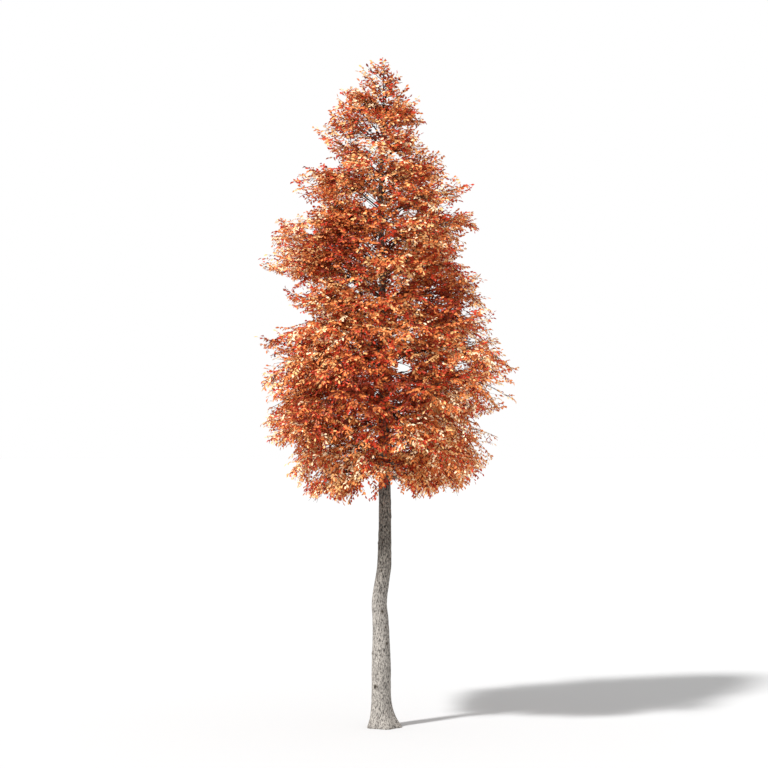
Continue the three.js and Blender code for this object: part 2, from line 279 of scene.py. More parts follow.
# %% [markdown]
# ## Bark
# Alder bark of this age is grey and dull, finely cracked lengthwise, with pale scales between the cracks.
# The large cracks and the knots are shaped in the mesh. What is finer is drawn by noise that is stretched
# upward. Real cracks are a few millimetres wide. On the trunk they are drawn at fifteen, so that they still
# show from thirty metres away. Each mesh may carry an attribute that says how stained the bark is and how
# much shade is painted on it, and where there is none the bark stays clean.

# %% Bark materials
MM = 0.001
CRACK_AT, MIDDLE_AT, SCALE_AT = 0.38, 0.48, 0.6
STREAK_DETAIL, STREAK_HARSHNESS = 5.0, 0.65
BLOTCH_DETAIL, BLOTCH_HARSHNESS = 3.0, 0.6
BLOTCH_WIDTHS = 14
BLOTCH_FROM, BLOTCH_TO = 0.35, 0.65
BLOTCH_SHADES = (0.82, 1.1)
BARK_ROUGHNESS = (0.95, 0.78)
BARK_SPECULAR = 0.25
BARK_BUMP = 0.8
STAIN_AND_SHADE_POWER = 3.2


def bark(name, crack, middle, scale, streak_width, stretch, depth):
    """Bark as stretched noise: dark in the cracks, pale on the scales, varied in tone in blotches some
    streaks wide, rough all over, and raised by a bump. The attribute, which holds knot stains and the painted
    shade of the crown, raises the colour to a power, so it gets darker and deeper."""
    finish, tree = empty_material(name)
    place = node(tree, "ShaderNodeTexCoord").outputs["Object"]
    upright = node(tree, "ShaderNodeMapping", {"Scale": (1, 1, 1 / stretch)}, Vector=place).outputs["Vector"]
    fine = {"Scale": 1 / streak_width, "Detail": STREAK_DETAIL, "Roughness": STREAK_HARSHNESS}
    streaks = node(tree, "ShaderNodeTexNoise", fine, Vector=upright).outputs["Fac"]
    broad = {"Scale": 1 / (BLOTCH_WIDTHS * streak_width), "Detail": BLOTCH_DETAIL,
             "Roughness": BLOTCH_HARSHNESS}
    blotches = node(tree, "ShaderNodeTexNoise", broad, Vector=place).outputs["Fac"]
    ramp = node(tree, "ShaderNodeValToRGB", Fac=streaks)
    ramp.color_ramp.elements[0].position = CRACK_AT
    ramp.color_ramp.elements[0].color = linear(crack)
    ramp.color_ramp.elements[1].position = SCALE_AT
    ramp.color_ramp.elements[1].color = linear(scale)
    ramp.color_ramp.elements.new(MIDDLE_AT).color = linear(middle)
    shades = {"From Min": BLOTCH_FROM, "From Max": BLOTCH_TO,
              "To Min": BLOTCH_SHADES[0], "To Max": BLOTCH_SHADES[1]}
    shade = node(tree, "ShaderNodeMapRange", shades, Value=blotches).outputs["Result"]
    clean = node(tree, "ShaderNodeVectorMath", {"operation": "SCALE"},
                 Scale=shade, Vector=ramp.outputs["Color"]).outputs["Vector"]
    # the attribute read here holds the knot stains and the painted shade of the crown
    stain_and_shade = node(tree, "ShaderNodeAttribute", {"attribute_name": "stain_and_shade"}).outputs["Fac"]
    powers = {"To Min": 1.0, "To Max": STAIN_AND_SHADE_POWER}
    power = node(tree, "ShaderNodeMapRange", powers, Value=stain_and_shade).outputs["Result"]
    colour = node(tree, "ShaderNodeGamma", Color=clean, Gamma=power).outputs["Color"]
    roughnesses = {"To Min": BARK_ROUGHNESS[0], "To Max": BARK_ROUGHNESS[1]}
    rough = node(tree, "ShaderNodeMapRange", roughnesses, Value=streaks).outputs["Result"]
    relief = {"Strength": BARK_BUMP, "Distance": depth}
    bump = node(tree, "ShaderNodeBump", relief, Height=streaks).outputs["Normal"]
    surface = node(tree, "ShaderNodeBsdfPrincipled", {"Specular IOR Level": BARK_SPECULAR},
                   Base_Color=colour, Roughness=rough, Normal=bump)
    node(tree, "ShaderNodeOutputMaterial", Surface=surface.outputs["BSDF"])
    return finish


# Weathered alder bark: grey, matt, with fine dark cracks and a dusty pale face.
TRUNK_BARK = bark("alder bark, weathered", "#38332f", "#837e78", "#a7a199", 15 * MM, 2.6, 5 * MM)
# Young alder bark on boughs: darker and smoother, with short streaks.
LIMB_BARK = bark("alder bark, young", "#3c342d", "#6f6459", "#8c8176", 6 * MM, 4, 1.5 * MM)
# Bark of this year's shoots: thin, warm brown, with hardly any cracks.
SHOOT_BARK = bark("alder bark, shoots", "#27150e", "#43281b", "#583a29", 4 * MM, 3, 0.5 * MM)
print("bark materials:", TRUNK_BARK.name, LIMB_BARK.name, SHOOT_BARK.name)

# %% [markdown]
# ## The trunk
# A displaced cylinder would stretch the bark where the foot flares. The trunk is instead one function of
# height and turn: the smooth radius, then swellings, upright ridges and scales from the noise, then knots
# where shed branches have healed over. The middle of a knot is stained dark. The bark just under the crown
# gets painted shade, darker towards the crown, where the crown's shadow falls. Rows crowd towards the foot,
# where the shape changes fastest.

# %% Trunk
TRUNK_TOP = 9.25
TRUNK_SIDES = 96
TRUNK_ROWS = 430
ROW_CROWDING = 1.4
SWELLINGS = (5, 0.45, 3.1)  # number round the trunk, length in metres, seed of the noise
RIDGES = (26, 0.16, 11.7)
SCALES = (60, 0.05, 29.3)
SWELLING_DEPTH, RIDGE_DEPTH, SCALE_DEPTH = 6 * MM, 4.5 * MM, 2.8 * MM
RIDGE_WAVE, RIDGE_WAVE_PACE = 0.12, 9  # radians of turn, radians a metre
VALLEY_SHARE = 0.35
FULL_RELIEF_RADIUS, LEAST_RELIEF = 0.09, 0.15
KNOTS = np.array([  # height, turn, size, in metres and radians, turn -1.57 faces the viewer
    [1.736, -1.24, 0.034], [1.26, -0.91, 0.03], [1.5, -0.96, 0.022], [0.62, -2.2, 0.036],
    [2.35, -1.9, 0.024], [2.9, -0.9, 0.026], [3.3, -2.0, 0.03], [0.95, 0.6, 0.034], [1.6, 2.1, 0.03],
    [2.2, 1.2, 0.028], [2.75, 3.0, 0.026], [3.15, 0.3, 0.03], [1.1, 3.4, 0.03],
])
KNOT_RADIUS = 0.12
KNOT_RISE = 0.2
KNOT_RING, KNOT_RING_WIDTH = 0.75, 0.18
KNOT_CORE, KNOT_STAIN = 0.55, 1.0
# painted shade of the crown's shadow on the upper trunk: none at 1.9 m, 0.21 at 2.8 m
PAINTED_SHADE_HEIGHTS, PAINTED_SHADES = (1.9, 2.8), (0.0, 0.21)


def knot_distance(height, turn):
    """Distance to each knot, across the bark and up it, over the knot's own size."""
    away = np.angle(np.exp(1j * (turn[..., None] - KNOTS[:, 1]))) * KNOT_RADIUS
    return np.hypot(away, height[..., None] - KNOTS[:, 0]) / KNOTS[:, 2]


def bark_relief(height, turn):
    """Swellings, upright ridges and small scales added up, with sharp valleys where the ridge noise crosses
    nought, and a raised ring with a sunk middle at each knot."""
    swelling = SWELLING_DEPTH * grain(turn, height, *SWELLINGS)
    waving = turn + RIDGE_WAVE * np.sin(RIDGE_WAVE_PACE * height)
    ridges = RIDGE_DEPTH * (np.abs(grain(waving, height, *RIDGES)) - VALLEY_SHARE)
    scales = SCALE_DEPTH * (np.abs(grain(turn, height, *SCALES)) - VALLEY_SHARE)
    rings = np.exp(-((knot_distance(height, turn) - KNOT_RING) ** 2) / KNOT_RING_WIDTH)
    return swelling + ridges + scales + (KNOT_RISE * KNOTS[:, 2] * rings).sum(axis=-1)


def knot_stain_and_painted_shade(height, turn):
    """Stain and painted shade from none to full: a bell of stain in the core of each knot, and a slope of
    painted shade from clean to dark towards the crown, where the crown's shadow falls, put together so that
    each takes its share of what the other leaves."""
    knots = KNOT_STAIN * np.exp(-((knot_distance(height, turn) / KNOT_CORE) ** 2)).max(axis=-1)
    return 1 - (1 - knots) * (1 - np.interp(height, PAINTED_SHADE_HEIGHTS, PAINTED_SHADES))


def trunk_mesh():
    """Heart of the trunk plus radius and relief in the direction of each turn, closed by a fan at foot and
    top."""
    height, turn = np.meshgrid(
        TRUNK_TOP * np.linspace(0, 1, TRUNK_ROWS) ** ROW_CROWDING,
        2 * np.pi * np.arange(TRUNK_SIDES) / TRUNK_SIDES, indexing="ij")
    taper = np.interp(height, TAPER_HEIGHTS, TAPER_RADII)
    fade = np.clip(taper / FULL_RELIEF_RADIUS, LEAST_RELIEF, 1)
    radius = trunk_radius(height, turn) + fade * bark_relief(height, turn)
    arrows = np.stack([np.cos(turn), np.sin(turn), 0 * turn], axis=-1)
    walls = trunk_heart(height) + arrows * radius[..., None]
    row, side = np.meshgrid(np.arange(TRUNK_ROWS - 1), np.arange(TRUNK_SIDES), indexing="ij")
    here = (row * TRUNK_SIDES + side).ravel()
    beside = (row * TRUNK_SIDES + (side + 1) % TRUNK_SIDES).ravel()
    ring = np.arange(TRUNK_SIDES)
    beyond = (ring + 1) % TRUNK_SIDES
    foot_middle = TRUNK_ROWS * TRUNK_SIDES
    top_ring = foot_middle - TRUNK_SIDES
    triangles = np.concatenate([
        np.stack([here, beside, beside + TRUNK_SIDES], axis=-1),
        np.stack([here, beside + TRUNK_SIDES, here + TRUNK_SIDES], axis=-1),
        np.stack([beyond, ring, 0 * ring + foot_middle], axis=-1),
        np.stack([top_ring + ring, top_ring + beyond, 0 * ring + foot_middle + 1], axis=-1),
    ])
    corners = np.vstack([walls.reshape(-1, 3), trunk_heart(0.0), trunk_heart(TRUNK_TOP)])
    return corners, triangles, np.append(knot_stain_and_painted_shade(height, turn).ravel(), [0, 0])


# the trunk carries its knot stains and the crown's painted shade as a point attribute
corners, triangles, stain_and_shade = trunk_mesh()
trunk = add_piece("trunk_bark", corners, triangles, TRUNK_BARK, ["trunk"], True)
trunk.data.attributes.new("stain_and_shade", "FLOAT", "POINT").data.foreach_set("value", stain_and_shade.astype(np.float32))
print("trunk spans", np.round(corners.min(axis=0), 3), "to", np.round(corners.max(axis=0), 3))

# %% [markdown]
# ## How far the crown reaches
# The crown is a tall oval with bays and lobes. Two measured outlines, left and right, say how far from
# the heart of the tree it reaches at each height, and front and back take their mean. Shallow bays from
# the noise break it into tiers, and a few round gaps show sky. Growth that would leave the outline or
# cross a gap is cut back, as a spray in the wind or shade would die back.

# %% Crown outline
LEFT_OUTLINE = np.array([  # height, reach
    [3.26, 0.5], [3.45, 1.15], [3.62, 1.42], [4.1, 1.5], [4.35, 1.83], [4.8, 1.9], [5.2, 1.8],
    [5.86, 1.9], [6, 1.6], [6.13, 1.13], [6.3, 1.46], [6.7, 1.42], [6.9, 1.8], [7.15, 1.8], [7.5, 1.62],
    [7.74, 1.04], [8, 1.42], [8.28, 1.4], [8.45, 0.85], [8.85, 1.06], [9.35, 0.8], [9.62, 0.42],
    [9.82, 0.42], [10, 0.09],
])
RIGHT_OUTLINE = np.array([
    [3.28, 0.3], [3.5, 1.1], [3.75, 1.43], [4.05, 1.6], [4.35, 1.63], [4.55, 1.37], [4.75, 1.85],
    [5.35, 2.02], [5.6, 1.93], [5.8, 1.68], [6.1, 1.68], [6.3, 1.52], [6.75, 1.42], [6.95, 1.22],
    [7.15, 1.42], [7.6, 1.46], [7.85, 1.14], [8.1, 1.32], [8.35, 0.95], [8.55, 0.96], [8.75, 0.68],
    [9.08, 0.75], [9.2, 0.5], [9.35, 0.6], [9.6, 0.3], [9.85, 0.14], [10, 0.08],
])
OUTLINE_FADES = (0.4, 0.72)
FLAT_SIDE = 0.85
BAY_DEPTH = 0.1
BAY_SHARE = 0.12
BAY_CONTRAST = 1.5
BAYS = (9, 0.12, 77.7)  # number round the crown, height in metres, seed of the noise
SKY_GAPS = np.array([  # right, height, radius, share of the sprays that leave it open
    [-0.21, 7.86, 0.15, 1], [0.93, 7.74, 0.2, 1], [0.28, 5.38, 0.14, 1], [1.16, 5.39, 0.13, 1],
    [-0.545, 3.79, 0.13, 1], [0.69, 6.41, 0.3, 0.6], [-0.2, 8.74, 0.25, 0.5], [-0.69, 4.2, 0.3, 0.5],
    [-0.74, 8.45, 0.2, 1], [-1.08, 8.14, 0.17, 1], [-0.98, 7.84, 0.13, 1], [-1.11, 7.41, 0.16, 0.8],
    [0.86, 8.1, 0.2, 0.7], [1.66, 5.04, 0.2, 1], [1.23, 6.2, 0.13, 1], [1.29, 5.73, 0.13, 1],
    [-1.58, 5.44, 0.14, 1], [-1.58, 4.84, 0.14, 1], [-0.97, 3.76, 0.2, 0.7], [-0.19, 3.67, 0.17, 1],
    [0.16, 3.63, 0.15, 1],
])
UNDERSIDE = np.array([  # right, height of the lowest leaves
    [-1.4, 3.6], [-1.22, 3.55], [-1.08, 3.42], [-0.9, 3.56], [-0.77, 3.48], [-0.59, 3.26], [-0.41, 3.36],
    [-0.25, 3.25], [-0.14, 3.28], [-0.05, 3.62], [0.1, 3.72], [0.2, 3.5], [0.35, 3.4], [0.5, 3.42],
    [0.66, 3.38], [0.8, 3.56], [0.93, 3.59], [1.1, 3.51], [1.2, 3.5], [1.35, 3.69], [1.5, 3.8],
])
UNDERSIDE_SHARE = 0.6
EYE_HEIGHT = 5.125
EYE_DISTANCE = 34.0


def crown_reach(height, heading):
    """Reach at a height and heading: the left or right outline over the heading's cosine at the sides, their
    mean in front and behind, and a smooth step between the two as the cosine goes from one fade to the
    other."""
    left = np.interp(height, LEFT_OUTLINE[:, 0], LEFT_OUTLINE[:, 1], left=0, right=0)
    right = np.interp(height, RIGHT_OUTLINE[:, 0], RIGHT_OUTLINE[:, 1], left=0, right=0)
    side = np.cos(heading)
    t = np.clip((np.abs(side) - OUTLINE_FADES[0]) / (OUTLINE_FADES[1] - OUTLINE_FADES[0]), 0, 1)
    share = t * t * (3 - 2 * t)
    beside = np.where(side < 0, left, right) / np.maximum(np.abs(side), FLAT_SIDE)
    return between(((left + right) / 2, beside), share)


def in_crown(points, margin, draw):
    """True where a point lies inside the outline by a margin, above the underside, and clear of each gap as
    seen from the front. A gap's radius shrinks with the draw, and sprays with a draw above its share ignore
    it."""
    right, back, height = points[..., 0], points[..., 1], points[..., 2]
    heading = np.arctan2(back, right)
    free = crown_reach(height, heading)
    tiers = np.clip(0.5 + BAY_CONTRAST * grain(heading, height, *BAYS), 0, 1)
    bays = np.minimum(BAY_DEPTH, BAY_SHARE * free) * tiers
    inside = np.hypot(right, back) + margin < free - bays
    lifted = height - UNDERSIDE_SHARE * margin > np.interp(right, UNDERSIDE[:, 0], UNDERSIDE[:, 1])
    nearness = EYE_DISTANCE / (EYE_DISTANCE + back)
    across = (right * nearness)[..., None] - SKY_GAPS[:, 0]
    above = (EYE_HEIGHT + (height - EYE_HEIGHT) * nearness)[..., None] - SKY_GAPS[:, 1]
    gap_radius = SKY_GAPS[:, 2] * np.maximum(1 - draw[..., None] / SKY_GAPS[:, 3], 0)
    clear = (np.hypot(across, above) >= gap_radius).all(axis=-1)
    return inside & clear & lifted


print("widest reach, left and right:", LEFT_OUTLINE[:, 1].max(), RIGHT_OUTLINE[:, 1].max())

# %% [markdown]
# ## Limbs
# An alder sets its limbs round the trunk in a spiral, and the golden angle keeps them from lying over
# each other. Low limbs leave nearly level and sag, high ones rise. Each one is laid out as the solids
# were: a heading, a sway, a rise and a sag, and a length that brings its tip to the outline. The lowest
# twenty-two have a stout bare bough before the foliage starts. Between the limbs stand lesser and thinner
# ones, at the quarter, half and three-quarter steps of the same spiral. Those at the quarter steps are
# short and fill the inside of the crown.

# %% Limb layout
LIMB_COUNT = 36
BOUGH_COUNT = 22
LIMB_HEIGHTS = (3.7, 9.13)
LIMB_CROWDING = 1.15
GOLDEN_ANGLE = np.pi * (3 - np.sqrt(5))
FIRST_HEADING = 0.57
HEADING_CHANCE = 0.2
LIMB_RISE = (0.3, 1.05)
LIMB_DROOP = (0.52, 0.38)
LIMB_SWAY = 0.34
LIMB_RADIUS = (0.038, 0.02)
BOUGH_SHARE = (0.36, 0.26)
SOLID_LEAF = (0.58, 0.43)
LEAF_BEYOND_TIP = 0.65
SIDE_PULL = 0.18
LESSER_SIDE_PULL = 0.5
LESSER_REACH = 0.95
INNER_REACH = 0.6
LESSER_RADIUS = 0.45
LEAST_REACH = 0.5
SETTLINGS = 6

steps = np.arange(LIMB_COUNT - 1)
number = np.concatenate([np.arange(LIMB_COUNT), steps + 0.5, steps + 0.25, steps + 0.75])
limb = np.arange(len(number))
reach_share = np.select([number % 1 == 0, number % 1 == 0.25], [1.0, INNER_REACH], LESSER_REACH)
limb_share = number / (LIMB_COUNT - 1)
limb_root = trunk_heart(between(LIMB_HEIGHTS, limb_share**LIMB_CROWDING))
spiral = FIRST_HEADING + number * GOLDEN_ANGLE + HEADING_CHANCE * spread(number + 0.5)
limb_heading = spiral - np.where(number % 1 >= 0.5, LESSER_SIDE_PULL, SIDE_PULL) * np.sin(2 * spiral)
limb_sway = LIMB_SWAY * spread(number + 0.25)
limb_rise = between(LIMB_RISE, limb_share)
limb_droop = between(LIMB_DROOP, limb_share)
limb_radius = between(LIMB_RADIUS, limb_share) * np.where(limb < LIMB_COUNT, 1, LESSER_RADIUS)
solid_leaf = between(SOLID_LEAF, limb_share)
bough_share = np.where(limb < BOUGH_COUNT, between(BOUGH_SHARE, limb_share), 0)

limb_reach = np.ones(len(number))
for _ in range(SETTLINGS):
    tip_height = limb_root[:, 2] + limb_reach * (limb_rise - limb_droop)
    free = crown_reach(tip_height, limb_heading + limb_sway) - LEAF_BEYOND_TIP * solid_leaf
    limb_reach = np.maximum(free, LEAST_REACH * solid_leaf)
limb_reach = limb_reach * reach_share


def limb_points(which, share):
    """Points on limbs: outward in step with the share, turning by the sway, rising and then sagging by the
    share squared. Which is (n,), share is (n, marks)."""
    bearing = limb_heading[which, None] + limb_sway[which, None] * share
    outward = limb_reach[which, None] * share
    lift = limb_reach[which, None] * (limb_rise[which, None] * share - limb_droop[which, None] * share**2)
    offset = np.stack([outward * np.cos(bearing), outward * np.sin(bearing), lift], axis=-1)
    return limb_root[which, None] + offset


print(len(number), "limbs reach from", round(limb_reach.min(), 2), "to", round(limb_reach.max(), 2), "m")

# %% [markdown]
# ## Boughs
# The boughs are what shows of the limbs between the trunk and the leaves. A bevelled curve would be
# quicker to write, but these are tubes from arrays, so the same noise that ridges the trunk can roughen
# them too. A collar swells each one where it leaves the trunk.

# %% Boughs
BOUGH_SIDES = 14
BOUGH_RINGS = 30
BOUGH_OVERLAP = 1.02
LIMB_TIP_SHARE = 0.35
COLLAR, COLLAR_LENGTH = 0.5, 0.12
KNOBS = (7, 0.06, 5.5)  # number round the bough, length as a share of the limb, seed of the noise
KNOB_DEPTH = 0.1
KNOB_SHIFT = 1.7

lowest = np.arange(BOUGH_COUNT)
bough_rings = np.linspace(0, 1, BOUGH_RINGS)
bough_marks = bough_share[lowest, None] * BOUGH_OVERLAP * bough_rings
bough_radii = limb_radius[lowest, None] * between((1, LIMB_TIP_SHARE), bough_marks)
bough_collars = 1 + COLLAR * np.exp(-bough_rings * limb_reach[lowest, None] / COLLAR_LENGTH)
bough_turns = 2 * np.pi * np.arange(BOUGH_SIDES) / BOUGH_SIDES
knob_places = KNOB_SHIFT * lowest[:, None, None] + bough_marks[..., None]
knobs = grain(bough_turns[None, None], knob_places, *KNOBS)
bough_girths = (bough_radii * bough_collars)[..., None] * (1 + KNOB_DEPTH * knobs)
corners, triangles = tubes(limb_points(lowest, bough_marks), bough_girths, BOUGH_SIDES)
bough_nodes = [f"bough_{index + 1:02d}" for index in range(BOUGH_COUNT)]
add_piece("boughs", corners, triangles, LIMB_BARK, bough_nodes, True)

# %% [markdown]
# ## The growth rule
# Twigs leave a stem to left and right in turn, and shoots leave the twigs in the same way, so one rule
# serves twice. Each child is a share of its parent's length, shorter towards the parent's tip, and stays
# nearly level, which gives the flat tiers of foliage that catch the light. Most twigs stop short of the
# outline by a margin of their own. About a third lead: they grow up to it or past it, and stand out as
# single sprays. What would grow further or into a gap is cut back, and stubs are dropped.

# %% Growth rule
LINE_MARKS = 7
SAG_HEIGHTS, SAGS = (3.6, 4.6, 7.5, 9.3), (0.45, 0.15, 0.0, -0.05)
THIN_HEIGHTS, THIN_SHARES = (7.4, 8.7, 9.5, 9.8), (1.0, 0.63, 0.68, 0.5)
NARROW_HEIGHTS, NARROW_SHARES = (7.8, 9.3, 9.7), (1.0, 0.5, 0.1)
LEADING_MARGINS = np.array([-0.1, 0.05])
END_STEP = 0.6  # room before the first child and after the last, in steps between children
PARENT_SEED, CHILD_SEED = 17.77, 1.31
ANGLE_CHANCE = 0.25
LENGTH_CHANCE = 0.25
BEND_CHANCE = 0.18
UPRIGHT = 0.25


def along(lines, which, share):
    """Points a share of the way along the chosen lines, on the straight piece between two marks, and the way
    ahead there."""
    place = share * (lines.shape[1] - 1)
    mark = np.minimum(place.astype(int), lines.shape[1] - 2)
    part = (place - mark)[..., None]
    before, after = lines[which, mark], lines[which, mark + 1]
    return before * (1 - part) + after * part, unit(after - before)


def line_length(lines):
    """Length of each line: the sum of its steps."""
    return np.linalg.norm(np.diff(lines, axis=1), axis=2).sum(axis=1)


def sideways(ahead, order):
    """Level arrows square to the way ahead. On a line that stands upright there is no such side, so there
    they go round it by the golden angle instead."""
    level = np.stack([ahead[..., 1], -ahead[..., 0], 0 * ahead[..., 0]], axis=-1)
    circle = np.stack([np.cos(order * GOLDEN_ANGLE), np.sin(order * GOLDEN_ANGLE), 0 * order], axis=-1)
    upright = np.linalg.norm(level, axis=-1, keepdims=True) < UPRIGHT
    return unit(np.where(upright, circle, level))


def grow(parents, count, habit, seed, inherited=0.0):
    """Children of each parent line, and their margins. Child k leaves at an even share of the way along,
    turned left or right in turn by the angle, sloping up or down by chance, and sags by its share squared,
    most low down. Its length is the reach times the parent's length, less a loss towards the parent's tip. It
    is cut where it comes closer to the outline than its margin, and dropped by chance or if it is then too
    short."""
    k = np.arange(count)
    share = habit["first"] + (1 - habit["first"]) * (k + END_STEP) / (count - 1 + 2 * END_STEP)
    base, ahead = along(parents, np.arange(len(parents))[:, None], share)
    own = seed + PARENT_SEED * np.arange(len(parents))[:, None] + CHILD_SEED * k
    side = sideways(ahead, np.broadcast_to(k, own.shape))
    turn = np.where(k % 2 == 1, 1, -1) * habit["angle"] * (1 + ANGLE_CHANCE * spread(own + 0.6))
    way = ahead * np.cos(turn)[..., None] + side * np.sin(turn)[..., None]
    way = unit(way + UP * (np.where(k % 4 < 2, 1, -1) * habit["slope"] * chance(own + 0.7))[..., None])
    length = line_length(parents)[:, None] * habit["reach"] * (1 - habit["tip_loss"] * share)
    length = length * (1 + LENGTH_CHANCE * spread(own + 0.8))
    step = np.linspace(0, 1, LINE_MARKS)[:, None]
    sag = np.interp(base[..., 2], SAG_HEIGHTS, SAGS)[..., None, None]
    bend = side * (BEND_CHANCE * spread(own + 0.9))[..., None]
    shape = way[:, :, None] * step + (bend[:, :, None] - UP * sag) * step**2
    reaching = shape * length[:, :, None, None]
    leads = chance(own + 0.55) < habit["leading"]
    margins = np.where(leads, LEADING_MARGINS[:, None, None], habit["margins"][:, None, None])
    narrowing = np.interp(base[..., 2], NARROW_HEIGHTS, NARROW_SHARES)
    margin = between(margins, chance(own + 0.45)) * narrowing + np.reshape(inherited, (-1, 1))
    points_in = in_crown(base[:, :, None] + reaching, margin[..., None], chance(own + 0.35)[..., None])
    inside = np.cumprod(points_in[..., 1:], axis=2).mean(axis=2)
    children = base[:, :, None] + reaching * inside[:, :, None, None]
    thinning = np.interp(base[..., 2], THIN_HEIGHTS, THIN_SHARES)
    share_left = thinning * np.where(inside < 1, habit["cut_kept"], 1.0)
    grown = (length * inside > habit["least"]) & (chance(own + 0.15) < share_left)
    return children[grown], margin[grown]


print("rule ready, lines of", LINE_MARKS, "marks")

# %% [markdown]
# ## Stems
# From the end of each bough a stem runs on to the outline, and the higher limbs and the lesser ones are
# stems from the trunk on. A straight leader tops the tree. The stems could be left to the growth rule,
# but they follow the limbs that the solids have, so the crown keeps its lobes.

# %% Stems
STEM_MARKS = 16
STEM_TIP_SHARE = 0.25
SLENDER_STEMS = 0.6
STEM_END_GAP = 0.08
STEM_MARGIN = 0.06
TRIAL_FROM, TRIAL_MARKS = 0.5, 40
LEADER_FROM, LEADER_LENGTH = -0.02, 0.66
LEADER_RADII = (0.011, 0.003)
TWIGS_FROM = 0.16

stem_steps = np.linspace(0, 1, STEM_MARKS)
run_on = 1 + (LEAF_BEYOND_TIP * solid_leaf * reach_share - STEM_END_GAP) / limb_reach
trial = limb_points(limb, run_on[:, None] * np.linspace(TRIAL_FROM, 1, TRIAL_MARKS))
clear_share = np.cumprod(in_crown(trial, STEM_MARGIN, np.ones((1, 1))), axis=1).mean(axis=1)
stem_end = run_on * between((TRIAL_FROM, 1), clear_share)
stem_marks = bough_share[:, None] + (stem_end - bough_share)[:, None] * stem_steps
stem_girth = limb_radius * np.where(limb < BOUGH_COUNT, 1, SLENDER_STEMS)
stem_radii = stem_girth[:, None] * between((1, LIMB_TIP_SHARE), stem_marks)
stem_radii = stem_radii * between((1, STEM_TIP_SHARE), stem_steps)
leader = trunk_heart(TRUNK_TOP) + UP * between((LEADER_FROM, LEADER_LENGTH), stem_steps)[:, None]
stems = np.concatenate([limb_points(limb, stem_marks), leader[None]])
stem_radii = np.concatenate([stem_radii, between(LEADER_RADII, stem_steps)[None]])

leafy_marks = TWIGS_FROM + (stem_end - TWIGS_FROM)[:, None] * stem_steps
bearers = np.concatenate([limb_points(limb, leafy_marks), leader[None]])
inner = np.append(reach_share == INNER_REACH, False)
print(len(stems), "stems,", int(inner.sum()), "of them inside the crown")

# %% [markdown]
# ## Twigs and shoots
# Each stem bears twigs, and each twig bears shoots. Leading twigs bear short shoots at a sharp angle,
# which makes them feathers that stand out against the sky, while the others bear long ones that fill the
# crown. The top of the trunk gets twigs all round, since few limbs start so high.

# %% Twigs and shoots
TWIG_HABIT = {
    "first": 0.0, "angle": 0.75, "slope": 0.6, "reach": 0.9, "tip_loss": 0.4, "leading": 0.36,
    "margins": np.array([0.18, 0.5]), "least": 0.12, "cut_kept": 1.0,
}
TOP_HABIT = {**TWIG_HABIT, "angle": 1.0, "reach": 0.58, "tip_loss": 0.6, "leading": 0.8, "least": 0.08}
SHOOT_HABIT = {
    "first": 0.08, "angle": 0.8, "slope": 0.8, "reach": 0.66, "tip_loss": 0.7, "leading": 0.0,
    "margins": np.array([0.0, 0.05]), "least": 0.06, "cut_kept": 0.35,
}
FEATHER_HABIT = {**SHOOT_HABIT, "angle": 0.62, "reach": 0.38, "tip_loss": 0.55, "cut_kept": 1.0}
STEM_SHOOT_HABIT = {**SHOOT_HABIT, "reach": 0.25, "tip_loss": 0.4}
TWIGS_PER_STEM, TWIGS_PER_INNER_STEM, TOP_TWIGS = 13, 11, 54
SHOOTS_PER_TWIG, SHOOTS_PER_INNER_TWIG, SHOOTS_PER_STEM = 10, 9, 16
TWIG_SEEDS = {"outer": 0.31, "inner": 900.31, "top": 5000.3}
SHOOT_SEEDS = {"top": 6000.7, "filling": 2000.7, "leading": 7000.7, "inner": 3000.7, "stem": 4000.3}
SHOOTS_BEYOND = 0.14
TOP_TWIGS_FROM = 8.7

top_heights = np.linspace(TOP_TWIGS_FROM, TRUNK_TOP + LEADER_LENGTH, STEM_MARKS)
top_line = trunk_heart(np.minimum(top_heights, TRUNK_TOP))
top_line[:, 2] = top_heights

outer, within = bearers[~inner], bearers[inner]
outer_twigs, outer_margins = grow(outer, TWIGS_PER_STEM, TWIG_HABIT, TWIG_SEEDS["outer"])
inner_twigs, inner_margins = grow(within, TWIGS_PER_INNER_STEM, TWIG_HABIT, TWIG_SEEDS["inner"])
top_twigs, top_margins = grow(top_line[None], TOP_TWIGS, TOP_HABIT, TWIG_SEEDS["top"])
leads = outer_margins <= LEADING_MARGINS[1]
leading, leading_margins = outer_twigs[leads], outer_margins[leads]
filling, filling_margins = outer_twigs[~leads], np.maximum(outer_margins[~leads] - SHOOTS_BEYOND, 0)
inner_margins = np.maximum(inner_margins - SHOOTS_BEYOND, 0)

twigs = np.concatenate([outer_twigs, inner_twigs, top_twigs])
shoots = np.concatenate([
    grow(top_twigs, SHOOTS_PER_TWIG, FEATHER_HABIT, SHOOT_SEEDS["top"], top_margins)[0],
    grow(filling, SHOOTS_PER_TWIG, SHOOT_HABIT, SHOOT_SEEDS["filling"], filling_margins)[0],
    grow(leading, SHOOTS_PER_TWIG, FEATHER_HABIT, SHOOT_SEEDS["leading"], leading_margins)[0],
    grow(inner_twigs, SHOOTS_PER_INNER_TWIG, SHOOT_HABIT, SHOOT_SEEDS["inner"], inner_margins)[0],
    grow(outer, SHOOTS_PER_STEM, STEM_SHOOT_HABIT, SHOOT_SEEDS["stem"])[0],
])
print(len(twigs), "twigs,", len(leading), "of them leading, and", len(shoots), "shoots")

# %% [markdown]
# ## Wood of the twigs
# Stems, twigs and shoots are thin and mostly hidden, so few sides are enough. They are tubes like the
# boughs, joined into two meshes, because thousands of separate objects would be slow to handle.

# %% Twig mesh
STEM_SIDES, TWIG_SIDES, SHOOT_SIDES = 6, 4, 3
TWIG_RADII = (0.006, 0.002)
SHOOT_RADII = (0.0025, 0.001)
STEM_STEP, TWIG_STEP, SHOOT_STEP = 3, 2, 3  # marks from one ring to the next


